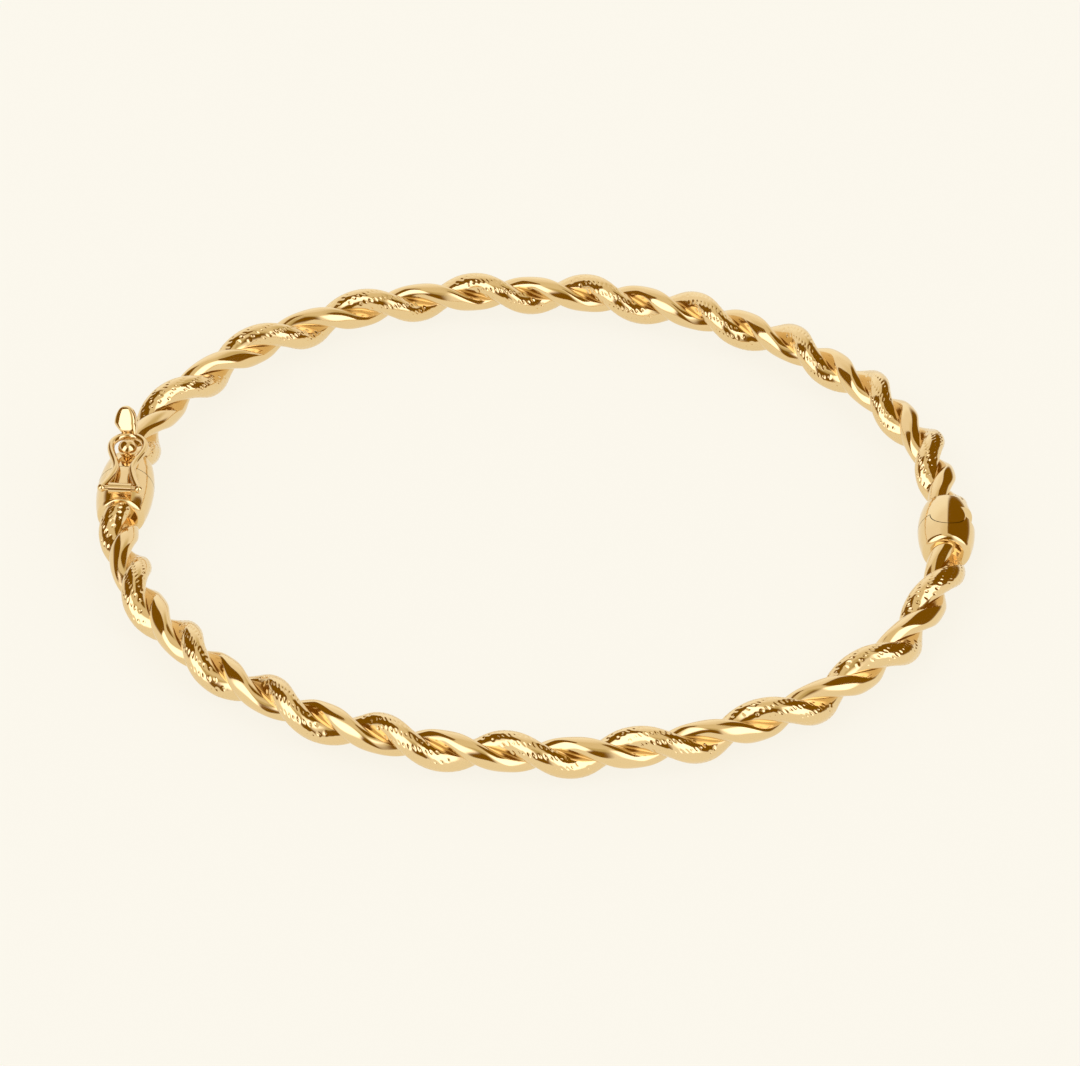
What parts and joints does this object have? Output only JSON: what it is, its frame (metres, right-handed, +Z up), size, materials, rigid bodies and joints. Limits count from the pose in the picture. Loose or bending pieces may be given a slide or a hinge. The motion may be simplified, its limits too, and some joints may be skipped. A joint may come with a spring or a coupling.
{
  "type": "hinged twisted wire bangle with box clasp and figure-eight safety catch",
  "caption": "Slim oval hinged bangle of a plain and a stippled tube twisted together, with a hinge barrel, a box clasp and a figure-eight safety catch over a ball.",
  "frame": {"origin": "on the axis of the wrist opening, at the height of the lowest point, with the bangle lying on its side", "axes": "+Z up along the axis of the wrist opening, +X from the clasp to the hinge, -Y towards the half hoop that swings open"},
  "size_m": [0.0662, 0.0587, 0.0065],
  "materials": {
    "polished_gold": "polished yellow gold",
    "textured_gold": "polished yellow gold with rows of fine dots"
  },
  "bodies": {
    "rear_half": {"rear_textured_strand": "textured_gold", "rear_plain_strand": "polished_gold", "hinge_knuckle": "polished_gold", "hinge_pin": "polished_gold", "clasp_cap": "polished_gold"},
    "front_half": {"front_textured_strand": "textured_gold", "front_plain_strand": "polished_gold", "hinge_socket": "polished_gold", "clasp_box": "polished_gold"},
    "safety_catch": {"safety_catch": "polished_gold"}
  },
  "joints": [
    {"name": "bangle_hinge", "type": "hinge", "parent": "rear_half", "child": "front_half", "pos_m": [0.031, -0.0005, 0.00215], "axis": [0, 0, 1], "range_deg": [0, 40]},
    {"name": "catch_pivot", "type": "hinge", "parent": "front_half", "child": "safety_catch", "pos_m": [-0.031, -0.0026, 0.00465], "axis": [1, 0, 0], "range_deg": [0, 150]}
  ]
}
